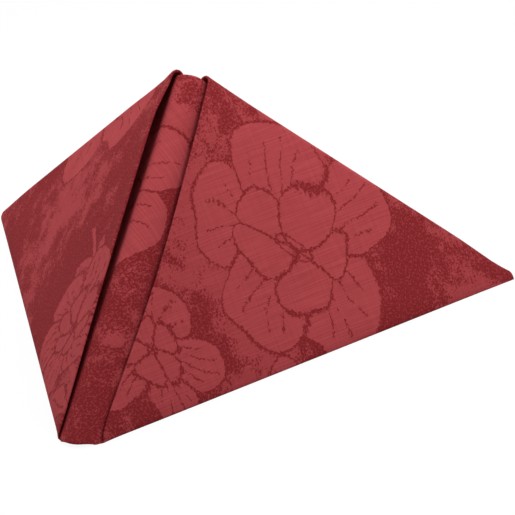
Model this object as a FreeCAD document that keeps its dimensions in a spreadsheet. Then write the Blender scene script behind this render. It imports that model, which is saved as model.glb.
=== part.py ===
import FreeCAD, Part
import os

# A square paper napkin, printed on one side, in the pyramid fold. It stands like a small tent on the
# two folded edges of its wings. Millimetres and degrees, +Z up, tip towards -Y, and the origin at the
# bottom centre of the box around the napkin.
#
# The sheet starts flat, turned so that one diagonal lies along X. It is folded four times: in half over
# that diagonal, its two side corners up as flaps beside an open strip, its top half under along a
# crease, and then softly over the ridge. The two halves mirror each other, so the left one is folded.

doc = FreeCAD.newDocument("PaperNapkin")

sizes = doc.addObject("Spreadsheet::Sheet", "Sizes")
DRIVING_SIZES = [
    ("sheet_side", 400, "side of the square sheet"),
    ("ply_thickness", 0.4, "thickness of the paper"),
    ("ply_gap", 0.2, "air between two layers of the folded paper"),
    ("flap_gap", 0.8, "air under a flap, which springs open a little"),
    ("ridge_strip", 12.8, "width of the strip that bends over the ridge"),
    ("seam_setback", 0.9, "from that strip to the folded edge of a flap"),
    ("crease_drop", 3, "from the middle of the strip down to the crease across it"),
    ("foot_spread", 53.8, "angle on the table between the two bottom edges, in degrees"),
    ("rest_depth", 0.1, "how far the bottom folds press flat on the table"),
]
for row, (alias, value, meaning) in enumerate(DRIVING_SIZES, start=1):
    sizes.set(f"A{row}", meaning)
    sizes.set(f"B{row}", str(value))
    sizes.setAlias(f"B{row}", alias)
doc.recompute()

# Lengths and angles worked out from those sizes
HALF_DIAGONAL = "Sizes.sheet_side / sqrt(2)"
DOUBLE_PLY = "(2 * Sizes.ply_thickness + Sizes.ply_gap)"
EDGE_RADIUS = "(Sizes.ply_thickness + Sizes.ply_gap / 2)"
FLAP_START = f"(Sizes.ridge_strip / 2 + Sizes.seam_setback + {EDGE_RADIUS})"
CREASE_HEIGHT = f"({HALF_DIAGONAL} / 2 - Sizes.crease_drop)"
HALF_BEND = "acos(sqrt(2) * sin(Sizes.foot_spread * 1 deg / 2))"
RIDGE_SLOPE = f"atan(sin({HALF_BEND}))"
BEND_RADIUS = f"(Sizes.ridge_strip / 2 / ({HALF_BEND} / 1 rad))"
TIP_RADIUS = f"({BEND_RADIUS} + Sizes.ply_gap / 2 + {DOUBLE_PLY} / 2)"
TIP_REACH = f"({TIP_RADIUS} * sin({RIDGE_SLOPE}) + {EDGE_RADIUS})"
REACH = "(2 * Sizes.sheet_side)"


def vector(along_x="0", along_y="0", along_z="0"):
    return f"create(<<vector>>; {along_x}; {along_y}; {along_z})"


def rotation(axis, angle):
    return f"create(<<rotation>>; {axis}; {angle})"


def placement(base, turn):
    return f"create(<<placement>>; {base}; {turn})"


def boolean(kind, name, base, tool):
    piece = doc.addObject(kind, name)
    piece.Base = base
    piece.Tool = tool
    return piece


def hinge_at(name, base, axis, angle):
    # X runs along the fold line, Y points to the side that is turned, Z to the side it is turned over.
    hinge = doc.addObject("Part::Compound", name)
    hinge.setExpression("Placement", placement(base, rotation(axis, angle)))
    return hinge


def laid_on(hinge, paper, name):
    laid = doc.addObject("Part::Compound", name)
    laid.Links = [paper]
    laid.setExpression("Placement", f"minvert({hinge.Name}.Placement)")
    return laid


def bend(name, section, angle, symmetric=False):
    turned = doc.addObject("Part::Revolution", name)
    turned.Source = section
    turned.Axis = FreeCAD.Vector(1, 0, 0)
    turned.Solid = True
    turned.Symmetric = symmetric
    turned.setExpression("Angle", angle)
    return turned


def fold(name, paper, hinge, angle):
    laid = laid_on(hinge, paper, f"{name}_laid")
    kept = boolean("Part::Cut", f"{name}_kept", laid, far_side)
    turned = boolean("Part::Common", f"{name}_turned", laid, far_side)
    turned.setExpression("Placement", placement(vector(), rotation(vector("1"), angle)))
    section = boolean("Part::Common", f"{name}_section", laid, fold_plane)
    edge = bend(f"{name}_edge", section, angle)
    folded = doc.addObject("Part::MultiFuse", name)
    folded.Shapes = [kept, edge, turned]
    folded.setExpression("Placement", f"{hinge.Name}.Placement")
    return folded


# The far side of a fold line and the plane through it, as large as the paper needs
far_side = doc.addObject("Part::Box", "far_side")
for length in ("Length", "Width", "Height"):
    far_side.setExpression(length, f"2 * {REACH}")
far_side.setExpression("Placement.Base.x", f"-{REACH}")
far_side.setExpression("Placement.Base.z", f"-{REACH}")
fold_plane = doc.addObject("Part::Plane", "fold_plane")
fold_plane.setExpression("Length", f"2 * {REACH}")
fold_plane.setExpression("Width", f"2 * {REACH}")
fold_plane.setExpression(
    "Placement",
    placement(vector(f"-{REACH}", "0", f"-{REACH}"), rotation(vector("1"), "90 deg")))

# The flat sheet, one diagonal along X and its centre at the origin
sheet = doc.addObject("Part::Box", "flat_sheet")
sheet.setExpression("Length", "Sizes.sheet_side")
sheet.setExpression("Width", "Sizes.sheet_side")
sheet.setExpression("Height", "Sizes.ply_thickness")
sheet.setExpression(
    "Placement",
    placement(vector("0", f"-{HALF_DIAGONAL}"), rotation(vector("0", "0", "1"), "45 deg")))

# Its left half
middle = hinge_at("middle", vector(), vector("0", "0", "1"), "90 deg")
half_laid = laid_on(middle, sheet, "half_laid")
half_sheet = boolean("Part::Common", "half_sheet", half_laid, far_side)
half_sheet.setExpression("Placement", "middle.Placement")

# Fold 1: in half over the diagonal, the print outside
diagonal = hinge_at(
    "diagonal",
    vector("0", "0", EDGE_RADIUS),
    vector("0", "0", "1"), "180 deg")
halved = fold("halved", half_sheet, diagonal, "180 deg")

# Fold 2: the side corner up as a flap, over a softer edge that leaves it standing a little open
flap_line = hinge_at(
    "flap_line",
    vector(f"-{FLAP_START}", "0", f"{DOUBLE_PLY} + Sizes.flap_gap / 2"),
    vector("0", "0", "1"), "135 deg")
flapped = fold("flapped", halved, flap_line, "180 deg")

# Fold 3: the upper half under along the crease, the flaps outside on both faces
crease = hinge_at(
    "crease",
    vector("0", CREASE_HEIGHT, "-Sizes.ply_gap / 2"),
    vector("0", "1", "0"), "180 deg")
creased = fold("creased", flapped, crease, "180 deg")

# Fold 4: softly over the ridge, with as much paper in the bend as the strip is wide
ridge = hinge_at(
    "ridge",
    vector("-Sizes.ridge_strip / 2", "0", f"-Sizes.ply_gap / 2 - {BEND_RADIUS}"),
    vector("0", "0", "1"), "90 deg")
ridge_laid = laid_on(ridge, creased, "ridge_laid")
left_wing = boolean("Part::Common", "left_wing", ridge_laid, far_side)
left_wing.setExpression("Placement", placement(vector(), rotation(vector("1"), f"-{HALF_BEND}")))
ridge_section = boolean("Part::Common", "ridge_section", ridge_laid, fold_plane)
ridge_bend = bend("ridge_bend", ridge_section, f"2 * {HALF_BEND}", symmetric=True)
right_wing = doc.addObject("Part::Mirroring", "right_wing")
right_wing.Source = left_wing
right_wing.Normal = FreeCAD.Vector(0, 1, 0)
tent = doc.addObject("Part::MultiFuse", "tent")
tent.Shapes = [left_wing, ridge_bend, right_wing]
tent.setExpression(
    "Placement",
    placement(vector(), f"create(<<rotation>>; 90 deg; -{RIDGE_SLOPE}; 0 deg)"))

# Stood on the table: the two bottom folds press flat, and the box around the napkin is centred in Y
standing = doc.addObject("Part::Compound", "standing")
standing.Links = [tent]
standing.setExpression("Placement.Base.y", f"({TIP_REACH} - tent.Shape.BoundBox.YMax) / 2")
standing.setExpression("Placement.Base.z", "-tent.Shape.BoundBox.ZMin - Sizes.rest_depth")
table = doc.addObject("Part::Box", "table")
for length in ("Length", "Width", "Height"):
    table.setExpression(length, f"2 * {REACH}")
table.setExpression("Placement.Base.x", f"-{REACH}")
table.setExpression("Placement.Base.y", f"-{REACH}")
table.setExpression("Placement.Base.z", f"-2 * {REACH}")
napkin = boolean("Part::Cut", "folded_napkin", standing, table)
napkin.Label = "folded_napkin"
doc.recompute()

for piece in doc.Objects:
    if "Invalid" in piece.State or "Error" in piece.State:
        raise RuntimeError(f"{piece.Name} failed: {piece.State}")
shape = napkin.Shape
if shape.isNull() or not shape.isValid() or len(shape.Solids) != 1:
    raise RuntimeError("folded_napkin is not one valid solid")

os.makedirs("parts", exist_ok=True)
shape.exportStep(f"parts/{napkin.Label}.step")
print(f"{napkin.Label}: {shape.BoundBox}, {shape.Volume:.1f} cubic mm, {len(shape.Faces)} faces")
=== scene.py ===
from math import acos, atan, cos, exp, pi, radians, sin, sqrt

import bmesh
import bpy
from mathutils import Matrix, Vector


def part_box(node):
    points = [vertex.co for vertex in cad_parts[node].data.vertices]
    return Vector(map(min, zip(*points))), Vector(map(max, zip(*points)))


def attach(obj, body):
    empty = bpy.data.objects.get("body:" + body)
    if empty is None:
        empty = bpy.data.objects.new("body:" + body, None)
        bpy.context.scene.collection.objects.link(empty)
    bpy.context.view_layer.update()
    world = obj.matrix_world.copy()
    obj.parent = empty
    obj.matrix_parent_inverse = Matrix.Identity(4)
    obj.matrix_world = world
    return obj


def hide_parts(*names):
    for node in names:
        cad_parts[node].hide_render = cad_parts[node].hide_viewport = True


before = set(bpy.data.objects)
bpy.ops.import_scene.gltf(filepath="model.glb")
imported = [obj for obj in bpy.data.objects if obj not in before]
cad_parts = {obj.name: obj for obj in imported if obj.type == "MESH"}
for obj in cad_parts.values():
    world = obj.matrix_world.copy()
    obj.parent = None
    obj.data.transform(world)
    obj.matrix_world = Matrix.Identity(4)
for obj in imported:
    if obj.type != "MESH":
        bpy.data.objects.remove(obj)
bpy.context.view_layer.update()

# A printed paper napkin in the pyramid fold, made as the one sheet that it is. Every point of the flat
# sheet is carried through the four folds, so the print runs on over each edge. Lengths are in
# millimetres until the last step, and x, y and z are those of the CAD model.

MILLIMETRE = 0.001

# The sheet and its folds
SHEET_SIDE = 400.0
PLY = 0.4
PLY_GAP = 0.2
RIDGE_STRIP = 12.8
SEAM_SETBACK = 0.9
CREASE_DROP = 3.0
FOOT_SPREAD = radians(53.8)
REST_DEPTH = 0.1

HALF_DIAGONAL = SHEET_SIDE / sqrt(2)
DOUBLE_PLY = 2 * PLY + PLY_GAP
EDGE_RADIUS = PLY + PLY_GAP / 2
FLAP_START = RIDGE_STRIP / 2 + SEAM_SETBACK + EDGE_RADIUS
CREASE_HEIGHT = HALF_DIAGONAL / 2 - CREASE_DROP
HALF_BEND = acos(sqrt(2) * sin(FOOT_SPREAD / 2))
RIDGE_SLOPE = atan(sin(HALF_BEND))
BEND_RADIUS = RIDGE_STRIP / 2 / HALF_BEND

# The length of paper that the two sharp folds take up
DIAGONAL_RUN = pi * (PLY + PLY_GAP) / 2
FLAP_RUN = pi * (DOUBLE_PLY + PLY_GAP) / 2

# What a hand leaves uneven, on the left (-1) and the right (1). A flap springs open along its seam,
# more so the higher up, until a small loop over the crease takes over. Powers give the curves their
# shape. The loop starts at a share of the way from the tip to the crease, and closes a little behind
# it. There the flap also comes down to the layers under it again, over BEHIND_CREASE.
SEAM_OPEN = {-1: 2.3, 1: 1.1}
OPEN_ALONG = 0.7
OPEN_ACROSS = 1.4
LOOP_HEIGHT = 0.86
LOOP_OPEN = {-1: -0.1, 1: 0.25}
LOOP_SHARPNESS = 14.0
LOOP_CLOSING = 0.6
BEHIND_CREASE = 10.0

# The seam lies over the strip at both ends, bows back between them, and leans in further where it
# goes over the crease.
TIP_OVERLAP = {-1: 2.0, 1: 2.2}
TOP_OVERLAP = {-1: 4.7, 1: 2.2}
SEAM_BOW = {-1: 0.2, 1: 2.4}
BOW_SKEW = 0.9
BOW_SHARPNESS = 1.5
CREST_LEAN = {-1: 1.4, 1: 1.6}
LEAN_HEIGHTS = (0.985, 1.06)

# The strip rolls over more tightly than its flaps, so it drops away beneath each seam. From the
# middle of the strip outwards, the drop comes in over the first stretch and fades over the second.
ROLL_DROP = {-1: 1.2, 1: 0.9}
DROP_STARTS = (2.5, 7.2)
DROP_FADES = (9.0, 34.0)
DROP_AT_TIP = 0.2

# The layers press together towards the bottom fold of a wing, which rounds it off.
FOLD_PRESS = 0.6
FOLD_REACH = 2.4

# The end of the strip slides down to the table, the left side ahead of the right, and the loose
# points of the sheet are tucked up behind it.
NOSE_SLIDE = 3.4
NOSE_PRESS = 0.5
NOSE_REACH = 24.0
NOSE_HALF_WIDTH = 11.0
NOSE_LEAD = Vector((0.5, -1.2, 0.0))
POINT_TUCK = 6.0
TUCK_REACH = 45.0

# The outer corner of each wing is drawn out to a point and pinched flat.
CORNER_DRAW = {-1: 0.8, 1: 5.0}
CORNER_PINCH = {-1: 0.15, 1: 0.54}
CORNER_REACH = 11.0

# How finely the sheet is divided: evenly, and closer where it bends or curves
MESH_STEP = 6.0
STRIP_CUTS = 14
DIAGONAL_CUTS = 8
SEAM_CREASE_CUTS = 16
CREASE_CUTS = 12
FOLD_CUTS = 12
FOLD_BAND = 6.4
BAND_START = 0.4
BAND_CUTS = 6

# Where the bottom fold is felt for its lowest place
FEEL_HEIGHT = 30.0
FEEL_STEPS = 40


def blend(start, end, value):
    """0 up to start, 1 from end on, and an even curve between them."""
    share = min(max((value - start) / (end - start), 0.0), 1.0)
    return share * share * (3 - 2 * share)


def hinge(place, axis, angle):
    """A fold line: X runs along it, Y points to the side that turns, and Z to where it turns to."""
    return Matrix.Translation(place) @ Matrix.Rotation(angle, 4, axis)


HINGES = {
    "diagonal": hinge((0, 0, EDGE_RADIUS), "Z", pi),
    "flap line": hinge((-FLAP_START, 0, DOUBLE_PLY + PLY_GAP / 2), "Z", radians(135)),
    "crease": hinge((0, CREASE_HEIGHT, -PLY_GAP / 2), "Y", pi),
}
LAID_ON = {name: place.inverted() for name, place in HINGES.items()}


def turned(point, line, run):
    """A point of the paper after the half turn about a hinge, and how far round it has come."""
    laid = LAID_ON[line] @ point
    share = min(max(laid.y / run, 0.0), 1.0)
    if laid.y <= 0:
        return point, share
    angle = pi * share
    beyond = max(laid.y - run, 0.0)
    laid.y = beyond * cos(angle) - laid.z * sin(angle)
    laid.z = beyond * sin(angle) + laid.z * cos(angle)
    return HINGES[line] @ laid, share


def flap_width(height):
    """From the seam to the far edge of the flap, at a height up the strip."""
    return max(min(height, HALF_DIAGONAL - FLAP_START - height), 1.0)


def dropped(across, height, side):
    """How far the strip and all that lies behind it drop away beside the seam."""
    up = min(max(height / CREASE_HEIGHT, 0.0), 1.0)
    beside = blend(*DROP_STARTS, across) * (1 - blend(*DROP_FADES, across))
    return ROLL_DROP[side] * (DROP_AT_TIP + (1 - DROP_AT_TIP) * up) * beside


def sprung(point, share, side):
    """A point of a flap that has sprung open and bowed out at its seam."""
    height = max(point.y, 0.0)
    near_seam = 1 + (point.x + FLAP_START) / flap_width(height)
    near_seam = min(max(near_seam, 0.0), 1.0) * share
    up = min(height / CREASE_HEIGHT, 1.0)
    at_top = blend(LOOP_HEIGHT, 1.0, up)
    back = blend(CREASE_HEIGHT, 2 * CREASE_HEIGHT, height)
    opening = SEAM_OPEN[side] * up ** OPEN_ALONG * near_seam ** OPEN_ACROSS * (1 - at_top)
    loop = LOOP_OPEN[side] * near_seam ** LOOP_SHARPNESS
    opening += loop * at_top * (1 - LOOP_CLOSING * back)
    behind = blend(CREASE_HEIGHT, CREASE_HEIGHT + BEHIND_CREASE, height)
    opening += dropped(-point.x, height, side) * share * (1 - behind)
    inward = TIP_OVERLAP[side] + (TOP_OVERLAP[side] - TIP_OVERLAP[side]) * up
    inward -= SEAM_BOW[side] * max(sin(pi * up ** BOW_SKEW), 0.0) ** BOW_SHARPNESS
    inward += CREST_LEAN[side] * blend(*LEAN_HEIGHTS, height / CREASE_HEIGHT)
    return point + Vector((inward * near_seam ** 2 * (1 - back), 0, opening))


def pressed(point):
    """A point of the paper near the bottom fold of a wing, closer to the layers under it."""
    outermost = DOUBLE_PLY + PLY_GAP / 2
    inside = max(outermost - (LAID_ON["flap line"] @ point).y, 0.0)
    press = FOLD_PRESS * exp(-inside / FOLD_REACH)
    return Vector((point.x, point.y, point.z * (1 - press)))


def over_the_crease(faces):
    """Both faces of the paper, turned under. Each layer keeps its own length round the top."""
    level = (faces[0].z + faces[1].z + PLY_GAP) / 2
    run = pi * level
    return [turned(face, "crease", run)[0] for face in faces]


def tucked(point):
    """A point of the back panel, with the sheet's loose points drawn up behind the nose."""
    if point.z > -PLY_GAP / 2 or point.y > CREASE_HEIGHT:
        return point
    away = Vector((point.x, point.y + 2 * CREASE_DROP)).length
    return point + Vector((0, POINT_TUCK * max(1 - away / TUCK_REACH, 0.0) ** 2, 0))


def over_the_ridge(point, side):
    """A point of the left half after the soft bend. X up the ridge, Y to the left, Z out of it."""
    across = -point.x
    out = point.z + PLY_GAP / 2 + BEND_RADIUS - dropped(across, point.y, side)
    angle = HALF_BEND * min(across / (RIDGE_STRIP / 2), 1.0)
    beyond = max(across - RIDGE_STRIP / 2, 0.0)
    return Vector((
        point.y,
        out * sin(angle) + beyond * cos(angle),
        out * cos(angle) - beyond * sin(angle)))


def stood(point):
    """From the ridge to the table: the tip in front, the open back towards +Y."""
    return Vector((
        -point.y,
        point.x * cos(RIDGE_SLOPE) - point.z * sin(RIDGE_SLOPE),
        point.x * sin(RIDGE_SLOPE) + point.z * cos(RIDGE_SLOPE)))


def folded(x, y):
    """The printed and the plain face of the paper at a place on the flat sheet, after all folds."""
    side = -1 if x < 0 else 1
    faces = []
    for level in (0.0, PLY):
        halved = turned(Vector((-abs(x), y, level)), "diagonal", DIAGONAL_RUN)[0]
        point, share = turned(halved, "flap line", FLAP_RUN)
        faces.append(pressed(sprung(point, share, side)))
    faces = over_the_crease(faces)
    placed = []
    for face in faces:
        point = stood(over_the_ridge(tucked(face), side))
        point.x *= -side
        placed.append(point)
    return placed


def nose_on_the_table(point):
    """The end of the strip slides down the slope, until it lies on the table."""
    along = exp(-(max(point.y, 0.0) / NOSE_REACH) ** 2)
    across = cos(pi / 2 * min(abs(point.x) / NOSE_HALF_WIDTH, 1.0)) ** 2
    slide = NOSE_SLIDE * along * across
    drop = NOSE_PRESS * along * across
    lead = exp(-(Vector((point.x + FLAP_START, point.y)).length / NOSE_REACH) ** 2)
    lead *= 1 - blend(-FLAP_START, FLAP_START, point.x)
    slid = Vector((0, -slide * cos(RIDGE_SLOPE), -slide * sin(RIDGE_SLOPE) - drop))
    return point + slid + NOSE_LEAD * lead


def corner_drawn_out(point):
    """A point near the outer corner of a wing, a little further out and lower than the folds put it."""
    side = -1 if point.x < 0 else 1
    outward = Vector((side * sin(FOOT_SPREAD / 2), cos(FOOT_SPREAD / 2), 0))
    corner = outward * (HALF_DIAGONAL - FLAP_START) / sqrt(2)
    near = exp(-((corner - point).length / CORNER_REACH) ** 2)
    drawn = point + outward * CORNER_DRAW[side] * near
    drawn.z -= point.z * CORNER_PINCH[side] * near
    return drawn


def settled(point, place):
    """A point of the folded napkin in its place on the table."""
    point = corner_drawn_out(nose_on_the_table(point)) + place
    return Vector((point.x, point.y, max(point.z, 0.0)))


def standing_place():
    """From the foot of the ridge to the CAD model's place, with the bottom folds pressed flat."""
    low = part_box("folded_napkin")[0]
    tip_radius = BEND_RADIUS + PLY_GAP / 2 + DOUBLE_PLY / 2
    tip_reach = tip_radius * sin(RIDGE_SLOPE) + EDGE_RADIUS
    lowest = min(
        face.z
        for step in range(FEEL_STEPS)
        for face in folded(-FLAP_START - FEEL_HEIGHT - FLAP_RUN * step / FEEL_STEPS, FEEL_HEIGHT))
    return Vector((0, low.y / MILLIMETRE + tip_reach, -lowest - REST_DEPTH))


def steps(start, end, count):
    return [start + (end - start) * number / count for number in range(count + 1)]


def cut_lines():
    """The lines that the flat sheet is divided along: their direction, places and part of it."""
    even = int(HALF_DIAGONAL / MESH_STEP)
    grid = [MESH_STEP * number for number in range(-even, even + 1)]
    across, up = Vector((1, 0, 0)), Vector((0, 1, 0))
    yield across, grid, None
    yield up, grid, None
    yield across, steps(-RIDGE_STRIP / 2, RIDGE_STRIP / 2, STRIP_CUTS), None
    yield up, [-DIAGONAL_RUN - 1, *steps(-DIAGONAL_RUN, 0, DIAGONAL_CUTS), 1], None
    flap_crease = FLAP_START + FLAP_RUN / sqrt(2) + CREASE_HEIGHT
    for side in (-1, 1):
        places = steps(flap_crease - 1, flap_crease + 11, SEAM_CREASE_CUTS)
        yield across, [side * place for place in places], None
        start = CREASE_HEIGHT if side > 0 else CREASE_HEIGHT + DIAGONAL_RUN
        places = steps(start - 0.5, start + 4, CREASE_CUTS)
        yield up, [side * place for place in places], None
        for half in (-1, 1):
            start = FLAP_START if half > 0 else FLAP_START - DIAGONAL_RUN
            fold = start / sqrt(2)
            end = fold + FLAP_RUN
            places = steps(fold - FOLD_BAND, fold - BAND_START, BAND_CUTS)
            places += steps(fold, end, FOLD_CUTS)
            places += steps(end + BAND_START, end + FOLD_BAND, BAND_CUTS)
            direction = Vector((side, -half, 0)).normalized()
            yield direction, places, (side, half)


def flat_sheet():
    """The sheet before folding, one diagonal along X, divided into small faces."""
    sheet = bmesh.new()
    corners = [
        sheet.verts.new((x * HALF_DIAGONAL, y * HALF_DIAGONAL, 0))
        for x, y in [(-1, 0), (0, -1), (1, 0), (0, 1)]]
    sheet.faces.new(corners)
    for direction, places, quarter in cut_lines():
        for place in places:
            faces = sheet.faces[:]
            if quarter:
                side, half = quarter
                middles = [(face, face.calc_center_median()) for face in faces]
                faces = [face for face, at in middles if at.x * side > 0 and at.y * half > 0]
            edges = {edge for face in faces for edge in face.edges}
            spots = {spot for face in faces for spot in face.verts}
            bmesh.ops.bisect_plane(
                sheet, geom=[*spots, *edges, *faces], dist=0.01,
                plane_co=direction * place, plane_no=direction)
    return sheet


SHARP_FROM = radians(50)


def napkin_mesh():
    """The folded sheet: printed faces outside, plain ones inside, and the cut edge between them."""
    sheet = flat_sheet()
    place = standing_place()
    mesh = bmesh.new()
    flat = mesh.loops.layers.uv.new("flat sheet")
    print_side, plain_side = {}, {}
    spots = {}
    for spot in sheet.verts:
        printed, plain = folded(spot.co.x, spot.co.y)
        along = (spot.co.x - spot.co.y) / sqrt(2) / SHEET_SIDE + 0.5
        up = (spot.co.x + spot.co.y) / sqrt(2) / SHEET_SIDE + 0.5
        for surface, point in ((print_side, printed), (plain_side, plain)):
            surface[spot] = mesh.verts.new(settled(point, place) * MILLIMETRE)
            spots[surface[spot]] = (along, up)
    for face in sheet.faces:
        mesh.faces.new([print_side[spot] for spot in reversed(face.verts)])
        mesh.faces.new([plain_side[spot] for spot in face.verts]).material_index = 1
    for edge in sheet.edges:
        if edge.is_boundary:
            loop = edge.link_loops[0]
            start, end = loop.vert, loop.link_loop_next.vert
            rim = (print_side[start], print_side[end], plain_side[end], plain_side[start])
            mesh.faces.new(rim).material_index = 1
    for face in mesh.faces:
        face.smooth = True
        for loop in face.loops:
            loop[flat].uv = spots[loop.vert]
    made = bpy.data.meshes.new("printed_napkin")
    mesh.to_mesh(made)
    made.set_sharp_from_angle(angle=SHARP_FROM)
    sheet.free()
    mesh.free()
    return made


def srgb(red, green, blue):
    """The shader's linear colour for an 8-bit screen colour."""
    def linear(value):
        share = value / 255
        return share / 12.92 if share <= 0.04045 else ((share + 0.055) / 1.055) ** 2.4
    return (linear(red), linear(green), linear(blue), 1.0)


class Field:
    """What a node gives. Arithmetic on it adds Math nodes."""

    def __init__(self, finish, socket):
        self.finish = finish
        self.socket = socket

    def math(self, operation, *values):
        inputs = dict(enumerate(values))
        return self.finish.node("Math", {"operation": operation}, inputs)

    def __add__(self, other):
        return self.math("ADD", self, other)

    def __radd__(self, other):
        return self.math("ADD", other, self)

    def __sub__(self, other):
        return self.math("SUBTRACT", self, other)

    def __rsub__(self, other):
        return self.math("SUBTRACT", other, self)

    def __mul__(self, other):
        return self.math("MULTIPLY", self, other)

    def __rmul__(self, other):
        return self.math("MULTIPLY", other, self)

    def __truediv__(self, other):
        return self.math("DIVIDE", self, other)

    def __rtruediv__(self, other):
        return self.math("DIVIDE", other, self)

    def __pow__(self, power):
        return self.math("POWER", self, power)

    def __abs__(self):
        return self.math("ABSOLUTE", self)

    def over(self, limit):
        return self.math("GREATER_THAN", self, limit)

    def under(self, limit):
        return self.math("LESS_THAN", self, limit)

    def most(self, other):
        return self.math("MAXIMUM", self, other)

    def least(self, other):
        return self.math("MINIMUM", self, other)

    def floor(self):
        return self.math("FLOOR", self)

    def sine(self):
        return self.math("SINE", self)

    def wrapped(self, low, high):
        return self.math("WRAP", self, high, low)

    def angle_to(self, across):
        return self.math("ARCTAN2", self, across)

    def rising(self, low, high):
        """0 up to low, 1 from high on, smooth between them."""
        settings = {"interpolation_type": "SMOOTHSTEP"}
        return self.finish.node("MapRange", settings, {0: self, 1: low, 2: high})


class Finish:
    """The nodes that a material or the surround is made of."""

    def __init__(self, owner):
        owner.use_nodes = True
        self.tree = owner.node_tree
        self.tree.nodes.clear()

    def node(self, kind, settings, inputs, output=0):
        made = self.tree.nodes.new("ShaderNode" + kind)
        for name, value in settings.items():
            setattr(made, name, value)
        for name, value in inputs.items():
            if isinstance(value, Field):
                self.tree.links.new(value.socket, made.inputs[name])
            else:
                made.inputs[name].default_value = value
        return Field(self, made.outputs[output]) if made.outputs else made

    def mixed(self, share, first, second):
        """A colour between two colours."""
        return self.node("Mix", {"data_type": "RGBA"}, {0: share, 6: first, 7: second}, 2)

    def vector(self, x, y):
        return self.node("CombineXYZ", {}, {0: x, 1: y})

    def noise(self, place, scale, detail, rough=0.5):
        inputs = {"Vector": place, "Scale": scale, "Detail": detail, "Roughness": rough}
        return self.node("TexNoise", {}, inputs)

    def flat_place(self):
        """Where a point lies on the flat sheet, in millimetres along its two sides."""
        place = self.node("UVMap", {"uv_map": "flat sheet"}, {})
        scaled = {0: place, "Scale": SHEET_SIDE}
        return self.node("VectorMath", {"operation": "SCALE"}, scaled)

    def parts(self, vector):
        """The first two parts of a vector."""
        return [self.node("SeparateXYZ", {}, {0: vector}, axis) for axis in range(2)]

    def paper(self, colour, rough, relief):
        """Matt paper of this colour, roughness and relief."""
        height = {"Strength": RELIEF_STRENGTH, "Distance": RELIEF_DEPTH, "Height": relief}
        normal = self.node("Bump", {}, height)
        shader = self.node("BsdfPrincipled", {}, {
            "Base Color": colour,
            "Roughness": rough,
            "Normal": normal,
            "Specular IOR Level": PAPER_SHINE})
        self.node("OutputMaterial", {}, {"Surface": shader})


# The print repeats in the sheet's two directions. Each motif has its place, its size and the way it
# points, in degrees. Blossoms also have a number of petals.
REPEAT = 200.0
BLOSSOMS = [
    (46, 112, 44, 5, 12),
    (26, 38, 26, 5, 40),
    (150, 170, 27, 6, 0),
    (152, 58, 43, 5, 25),
]
SPRIGS = [
    (10, 78, 88, 150),
    (92, 30, 74, 75),
    (196, 186, 84, 205),
]
LINE = 1.2
FINE_LINE = 0.7
STITCH = 0.5
LEAF_TURN = radians(38)
THREAD_PITCH = 1.0

# How far the drawing wanders, slowly and from spot to spot
SWAY = 26.0
SHAKE = 1.8

# A blossom, in shares of its radius: how far the petals draw in beside each other, where the inner
# ring ends, and the eye. The veins lie at shares of the half petal.
PETAL_NOTCH = 0.3
INNER_RING = 0.5
EYE = 0.09
VEIN_MIDDLE = 0.4
VEIN_APART = 0.18
VEIN_GAPS = 0.46

# A sprig, in shares of its length: the leaves, and how much smaller they get towards its end
LEAF_PAIRS = 4
LEAF_LENGTH = 0.36
LEAF_TAPER = 0.6
LEAF_FULLNESS = 0.2
LEAF_SETBACK = 0.1
RIB_END = 0.75
RIB_GAPS = 0.44

# The ground's light flecks: how strongly they gather, over short and long ways, where they start
# and are full, and how near they come to the figures' colour
FLECKS_GATHER = 1.3
FLECKS_DRIFT = 1.2
FLECK_LEVELS = (0.53, 0.60)
FLECK_SHARE = 0.85

# How the threads show in the figures, and how strong the crossing ones and the even ribs are
THREADS_SHOW = 1.4
CROSSING_SHARE = 0.5
RIB_SHARE = 0.06

# Paper colours for the screen, how deep the relief is in metres, and a low shine
GROUND_DARK = (122, 32, 36)
GROUND_LIGHT = (160, 58, 62)
FIGURE_DARK = (150, 55, 59)
FIGURE_LIGHT = (172, 70, 74)
PLAIN_DARK = (140, 46, 54)
PLAIN_LIGHT = (164, 62, 68)
RELIEF_STRENGTH = 0.3
RELIEF_DEPTH = 0.0001
PAPER_SHINE = 0.08


def local(at_x, at_y, place_x, place_y, turn):
    """The place relative to a motif, repeated over the sheet and turned with it."""
    x = (at_x - place_x).wrapped(-REPEAT / 2, REPEAT / 2)
    y = (at_y - place_y).wrapped(-REPEAT / 2, REPEAT / 2)
    across, up = cos(turn), sin(turn)
    return x * across + y * up, y * across - x * up


def blossom(x, y, grain, radius, petals):
    """A ring of round petals around a smaller one: where they lie, and the dark lines in them."""
    out = (x * x + y * y) ** 0.5
    sector = 2 * pi / petals
    between = abs(y.angle_to(x).wrapped(-sector / 2, sector / 2)) * (2 / sector)
    arc = out * (sector / 2)
    inside = radius * (1 - PETAL_NOTCH * between ** 3) - out
    outer = out - INNER_RING * radius * (1 - PETAL_NOTCH * (1 - between) ** 3)
    in_ring = outer.over(0)
    outlines = inside.under(LINE).most(abs(outer).under(LINE / 2))
    parting = ((1 - between) * arc).under(LINE / 2) * in_ring
    parting = parting.most((between * arc).under(LINE / 2) * (1 - in_ring))
    from_vein = abs(abs(between - VEIN_MIDDLE) - VEIN_APART) * arc
    vein = from_vein.under(FINE_LINE / 2) * grain.over(VEIN_GAPS)
    vein = vein * in_ring * inside.over(radius * (0.12 + 0.16 * between))
    eye = abs(out - EYE * radius).under(FINE_LINE / 2)
    return inside.over(0), outlines.most(parting).most(vein).most(eye)


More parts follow.
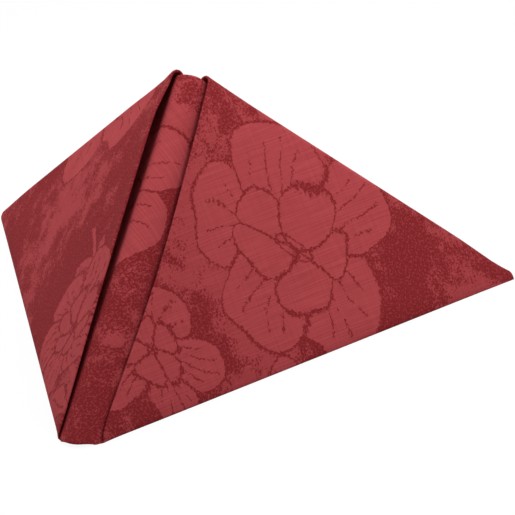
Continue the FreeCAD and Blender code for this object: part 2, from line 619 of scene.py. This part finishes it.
def sprig(x, y, grain, length):
    """A stem with pairs of leaves, shorter towards its end: where it lies, and its lines."""
    spacing = length / LEAF_PAIRS
    number = (x / spacing).floor()
    scale = (1.06 - x / length * LEAF_TAPER).most(0.2)
    along = x - number * spacing - spacing * LEAF_SETBACK
    side = abs(y)
    leaf_x = (along * cos(LEAF_TURN) + side * sin(LEAF_TURN)) / scale
    leaf_y = (side * cos(LEAF_TURN) - along * sin(LEAF_TURN)) / scale
    leaf_long = length * LEAF_LENGTH
    share = (leaf_x / leaf_long).most(0.0).least(1.0)
    inside = leaf_long * LEAF_FULLNESS * (share * pi).sine() - abs(leaf_y)
    on_stem = x.over(0) * x.under(length)
    stem = side.under(LINE)
    rib = abs(leaf_y).under(FINE_LINE / 2) * share.under(RIB_END) * grain.over(RIB_GAPS)
    lines = inside.under(LINE * 0.8).most(rib) * (1 - stem)
    return inside.over(0).most(stem) * on_stem, lines


def printed_paper():
    material = bpy.data.materials.new("printed paper")
    finish = Finish(material)
    place = finish.flat_place()
    flat_x, flat_y = finish.parts(place)

    # The drawing is a little uneven, and its edges step from thread to thread.
    sway = finish.node("TexNoise", {}, {"Vector": place, "Scale": 0.03, "Detail": 1.0}, 1)
    sway_x, sway_y = finish.parts(sway)
    shake = finish.node("TexNoise", {}, {"Vector": place, "Scale": 0.8, "Detail": 0.0}, 1)
    shake_x, shake_y = finish.parts(shake)
    at_x = (flat_x / STITCH).floor() * STITCH + (sway_x - 0.5) * SWAY + (shake_x - 0.5) * SHAKE
    at_y = (flat_y / STITCH).floor() * STITCH + (sway_y - 0.5) * SWAY + (shake_y - 0.5) * SHAKE
    grain = finish.noise(place, 0.28, 2.0, 0.8)

    # The ground: small light flecks, which gather and thin out
    fine = finish.noise(place, 1.15, 2.0, 0.7)
    clump = finish.noise(place, 0.10, 4.0, 0.65)
    drift = finish.noise(place, 0.02, 1.0)
    flecks = fine + (clump - 0.5) * FLECKS_GATHER + (drift - 0.5) * FLECKS_DRIFT
    light = flecks.rising(*FLECK_LEVELS) * FLECK_SHARE

    for centre_x, centre_y, length, turn in SPRIGS:
        x, y = local(at_x, at_y, centre_x, centre_y, radians(turn))
        inside, lines = sprig(x, y, grain, length)
        light = light + inside * (1 - lines - light)
    for centre_x, centre_y, radius, petals, turn in BLOSSOMS:
        x, y = local(at_x, at_y, centre_x, centre_y, radians(turn))
        inside, lines = blossom(x, y, grain, radius, petals)
        light = light + inside * (1 - lines - light)

    # Threads run along one side of the sheet, with a few faint ones across them.
    threads = finish.noise(finish.vector(flat_x * 1.8, flat_y * 0.05), 1.0, 1.0, 0.6)
    crossing = finish.noise(finish.vector(flat_x * 0.04, flat_y * 1.2), 1.0, 1.0)
    rib = (flat_x * (2 * pi / THREAD_PITCH)).sine()
    weave = (threads - 0.5) + (crossing - 0.5) * CROSSING_SHARE + rib * RIB_SHARE

    speck = finish.noise(place, 1.3, 2.0, 0.7).rising(0.5, 0.64)
    ground = finish.mixed(speck * 0.75, srgb(*GROUND_DARK), srgb(*GROUND_LIGHT))
    share = (0.5 + weave * THREADS_SHOW).most(0.0).least(1.0)
    figure = finish.mixed(share, srgb(*FIGURE_DARK), srgb(*FIGURE_LIGHT))
    colour = finish.mixed(light, ground, figure)

    relief = weave + finish.noise(place, 2.5, 1.0) * 0.4
    finish.paper(colour, 0.78 + 0.2 * grain, relief)
    return material


def plain_paper():
    material = bpy.data.materials.new("plain red paper")
    finish = Finish(material)
    place = finish.flat_place()
    fibres = finish.noise(place, 0.8, 5.0, 0.7)
    cloud = finish.noise(place, 0.05, 3.0)
    share = (fibres * 0.6 + cloud * 0.5).rising(0.3, 0.8)
    finish.paper(finish.mixed(share, srgb(*PLAIN_DARK), srgb(*PLAIN_LIGHT)), 0.9, fibres)
    return material


def make_napkin():
    napkin = bpy.data.objects.new("printed_napkin", napkin_mesh())
    bpy.context.scene.collection.objects.link(napkin)
    napkin.data.materials.append(printed_paper())
    napkin.data.materials.append(plain_paper())
    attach(napkin, "root")
    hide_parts("folded_napkin")


# The camera looks along a line through this place, and the frame is square.
CAMERA_AZIMUTH = radians(18.66)
CAMERA_ELEVATION = radians(22.05)
CAMERA_DISTANCE = 1.5
LOOK_AT = Vector((0.05234, -0.06119, 0.06055))
CAMERA_ROLL = radians(-0.34)
FOCAL_LENGTH = 326.4


def make_camera():
    back = Vector((
        sin(CAMERA_AZIMUTH) * cos(CAMERA_ELEVATION),
        -cos(CAMERA_AZIMUTH) * cos(CAMERA_ELEVATION),
        sin(CAMERA_ELEVATION)))
    camera = bpy.data.objects.new("camera", bpy.data.cameras.new("camera"))
    bpy.context.scene.collection.objects.link(camera)
    camera.data.lens = FOCAL_LENGTH
    camera.location = LOOK_AT + back * CAMERA_DISTANCE
    turn = (-back).to_track_quat("-Z", "Y").to_matrix()
    camera.rotation_euler = (turn @ Matrix.Rotation(CAMERA_ROLL, 3, "Z")).to_euler()
    bpy.context.scene.camera = camera


# Each lamp faces the middle of the table: its place, how wide it is, and its power in watts.
LAMPS = {
    "right_lamp": ((0.18, 0.05, 0.30), 0.2, 0.69),
    "left_lamp": ((-0.20, 0.05, 0.30), 0.2, 0.72),
    "front_lamp": ((-0.1, -0.5, 0.7), 0.4, 0.7),
    "back_lamp": ((0.1, 0.55, 0.45), 0.4, 1.6),
}
WHITE = (1.0, 1.0, 1.0, 1.0)
FLOOR_REACH = 3.0
FLOOR_GREY = (0.7, 0.7, 0.7, 1.0)
FLOOR_GLOW = 1.03
GLOW_SHARE = 0.9
SURROUND_LIGHT = 0.33


def make_lamp(name, place, size, power):
    light = bpy.data.lights.new(name, "AREA")
    light.size = size
    light.energy = power
    lamp = bpy.data.objects.new(name, light)
    lamp.location = place
    lamp.rotation_euler = (-Vector(place)).to_track_quat("-Z", "Y").to_euler()
    bpy.context.scene.collection.objects.link(lamp)


def make_studio():
    """Soft lamps, and a pale floor and a surround that the camera sees as white."""
    for name, (place, size, power) in LAMPS.items():
        make_lamp(name, place, size, power)

    floor_mesh = bpy.data.meshes.new("floor")
    corners = [(x * FLOOR_REACH, y * FLOOR_REACH, 0) for x, y in [(-1, -1), (1, -1), (1, 1), (-1, 1)]]
    floor_mesh.from_pydata(corners, [], [(0, 1, 2, 3)])
    floor = bpy.data.objects.new("floor", floor_mesh)
    bpy.context.scene.collection.objects.link(floor)
    pale = bpy.data.materials.new("pale floor")
    finish = Finish(pale)
    seen = finish.node("LightPath", {}, {}, "Is Camera Ray")
    paint = finish.node("BsdfDiffuse", {}, {"Color": FLOOR_GREY})
    glow = finish.node("Emission", {}, {"Color": WHITE, "Strength": FLOOR_GLOW})
    shader = finish.node("MixShader", {}, {0: seen * GLOW_SHARE, 1: paint, 2: glow})
    finish.node("OutputMaterial", {}, {"Surface": shader})
    floor_mesh.materials.append(pale)

    world = bpy.data.worlds.new("white surround")
    bpy.context.scene.world = world
    finish = Finish(world)
    seen = finish.node("LightPath", {}, {}, "Is Camera Ray")
    level = SURROUND_LIGHT + (1 - SURROUND_LIGHT) * seen
    surround = finish.node("Background", {}, {"Color": WHITE, "Strength": level})
    finish.node("OutputWorld", {}, {"Surface": surround})


make_napkin()
make_camera()
make_studio()
bpy.context.scene.view_settings.view_transform = "Standard"
